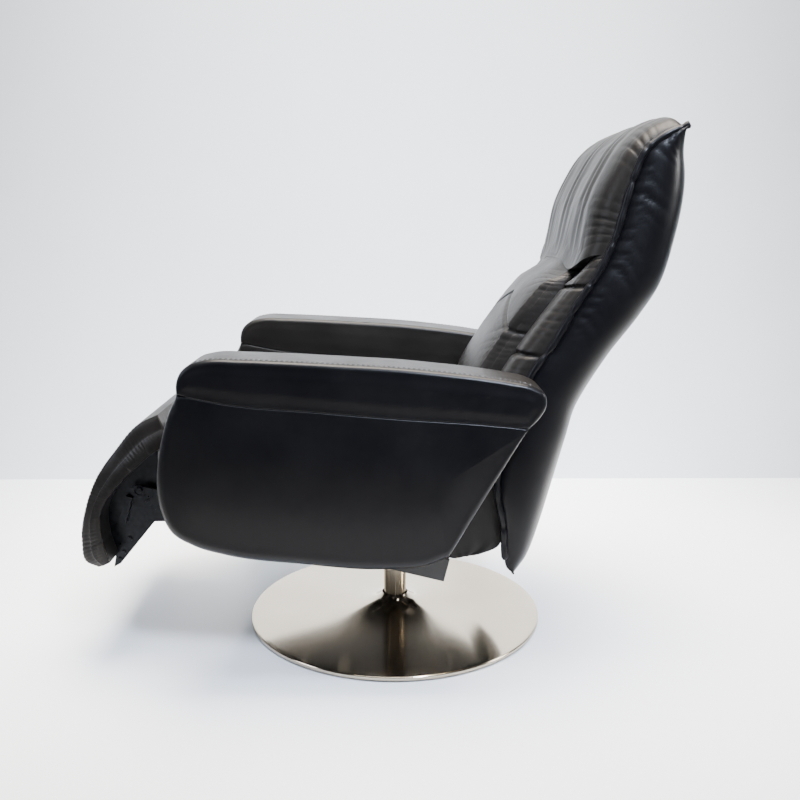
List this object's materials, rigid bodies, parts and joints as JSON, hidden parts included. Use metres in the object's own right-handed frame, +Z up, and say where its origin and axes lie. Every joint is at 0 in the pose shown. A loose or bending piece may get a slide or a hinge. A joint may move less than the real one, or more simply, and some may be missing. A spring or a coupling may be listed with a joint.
{
  "type": "swivel recliner chair",
  "caption": "Powered leather recliner with a folding leg rest, tilting head section and padded arms on a round swivelling metal base.",
  "frame": {"origin": "on the swivel axis at floor level", "axes": "+Z up, the sitter faces -Y, +X to the sitter's left"},
  "size_m": [0.73, 1.0893, 0.999],
  "materials": {
    "black_steel": "satin",
    "zinc_steel": "satin",
    "brushed_stainless": "satin",
    "pad_rubber": "matte",
    "black_nylon": "matte",
    "rocker_plastic": "gloss",
    "plywood": "matte",
    "webbing": "matte",
    "leather_over_foam": "satin",
    "leather": "satin"
  },
  "bodies": {
    "base": {"floor_pad": "pad_rubber", "ballast_plate": "black_steel", "base_cover": "brushed_stainless", "column_tube": "brushed_stainless", "column_bush": "black_nylon"},
    "seat": {"swivel_spindle": "zinc_steel", "swivel_plate": "black_steel", "swivel_bolts": "zinc_steel", "seat_rails": "black_steel", "cross_tubes": "black_steel", "side_plate_left": "black_steel", "side_plate_right": "black_steel", "seat_frame_bars": "plywood", "seat_webbing": "webbing", "seat_cushion": "leather_over_foam", "seat_skirts": "leather", "arm_rails": "black_steel", "arm_panel_left": "leather_over_foam", "arm_panel_right": "leather_over_foam", "arm_pad_left": "leather_over_foam", "arm_pad_right": "leather_over_foam", "arm_bolts": "zinc_steel", "control_panel": "black_nylon", "recline_motor": "black_nylon", "footrest_motor": "black_nylon", "supply_box": "black_nylon", "supply_hanger": "black_steel", "motor_lead": "black_nylon"},
    "backrest": {"back_hinge_ears": "black_steel", "back_uprights": "black_steel", "back_crossbars": "black_steel", "head_hinge_plates": "black_steel", "back_board": "plywood", "lumbar_cushion": "leather_over_foam", "side_bolster_left": "leather_over_foam", "side_bolster_right": "leather_over_foam", "back_rear_cover": "leather_over_foam", "back_side_cover_left": "leather_over_foam", "back_side_cover_right": "leather_over_foam"},
    "headrest": {"head_arms": "black_steel", "head_board": "plywood", "head_cushion": "leather_over_foam", "head_rear_cover": "leather_over_foam", "head_side_covers": "leather_over_foam"},
    "front_links": {"front_links": "zinc_steel", "torque_tube": "black_steel"},
    "rear_links": {"rear_links": "zinc_steel", "rear_link_tube": "black_steel"},
    "carrier": {"carrier_bars": "zinc_steel", "carrier_tube": "black_steel"},
    "footrest": {"footrest_brackets": "zinc_steel", "footrest_board": "plywood", "footrest_cushion": "leather_over_foam", "guide_blocks": "zinc_steel", "footrest_bolts": "zinc_steel"},
    "tilt_links": {"tilt_links": "zinc_steel"},
    "recline_rod": {"recline_rod": "zinc_steel"},
    "footrest_rod": {"footrest_rod": "zinc_steel"},
    "back_rocker": {"recline_rocker": "rocker_plastic"},
    "leg_rocker": {"footrest_rocker": "rocker_plastic"}
  },
  "joints": [
    {"name": "swivel", "type": "hinge", "parent": "base", "child": "seat", "pos_m": [0, 0, 0.24], "axis": [0, 0, 1], "continuous": true},
    {"name": "recline", "type": "hinge", "parent": "seat", "child": "backrest", "pos_m": [0, 0.205, 0.3], "axis": [-1, 0, 0], "range_deg": [-8, 25]},
    {"name": "headrest_tilt", "type": "hinge", "parent": "backrest", "child": "headrest", "pos_m": [0, 0.47, 0.768], "axis": [-1, 0, 0], "range_deg": [0, 25]},
    {"name": "footrest_lift", "type": "hinge", "parent": "seat", "child": "front_links", "pos_m": [0, -0.363, 0.3864], "axis": [-1, 0, 0], "range_deg": [0, 98.27]},
    {"name": "rear_link_swing", "type": "hinge", "parent": "seat", "child": "rear_links", "pos_m": [0, -0.273, 0.3864], "axis": [-1, 0, 0], "range_deg": [0, 99]},
    {"name": "carrier_hang", "type": "hinge", "parent": "front_links", "child": "carrier", "pos_m": [0, -0.31001, 0.29001], "axis": [-1, 0, 0], "range_deg": [-99, 0]},
    {"name": "footrest_turn", "type": "hinge", "parent": "carrier", "child": "footrest", "pos_m": [0, -0.45001, 0.30201], "axis": [-1, 0, 0], "range_deg": [0, 60.5]},
    {"name": "tilt_link_swing", "type": "hinge", "parent": "front_links", "child": "tilt_links", "pos_m": [0, -0.32818, 0.30732], "axis": [-1, 0, 0], "range_deg": [-98, 0]},
    {"name": "recline_rod_slide", "type": "slide", "parent": "seat", "child": "recline_rod", "axis": [0, 0.9932, 0.1168], "range_m": [-0.011, 0.0335]},
    {"name": "footrest_rod_slide", "type": "slide", "parent": "seat", "child": "footrest_rod", "axis": [0, -1, 0], "range_m": [0, 0.0685]},
    {"name": "recline_switch", "type": "hinge", "parent": "seat", "child": "back_rocker", "pos_m": [-0.26, -0.155, 0.489], "axis": [0, 1, 0], "range_deg": [-5, 5], "stiffness_Nm_per_rad": 0.05},
    {"name": "footrest_switch", "type": "hinge", "parent": "seat", "child": "leg_rocker", "pos_m": [-0.26, -0.115, 0.489], "axis": [0, 1, 0], "range_deg": [-5, 5], "stiffness_Nm_per_rad": 0.05}
  ],
  "couplings": [
    {"joint": "rear_link_swing", "follows": "footrest_lift", "ratio": 1},
    {"joint": "carrier_hang", "follows": "footrest_lift", "ratio": -1},
    {"joint": "footrest_turn", "follows": "footrest_lift", "ratio": 0.6106},
    {"joint": "tilt_link_swing", "follows": "footrest_lift", "ratio": -0.9923},
    {"joint": "footrest_rod_slide", "follows": "footrest_lift", "m_per_rad": 0.03969},
    {"joint": "recline_rod_slide", "follows": "recline", "m_per_rad": 0.07577}
  ]
}
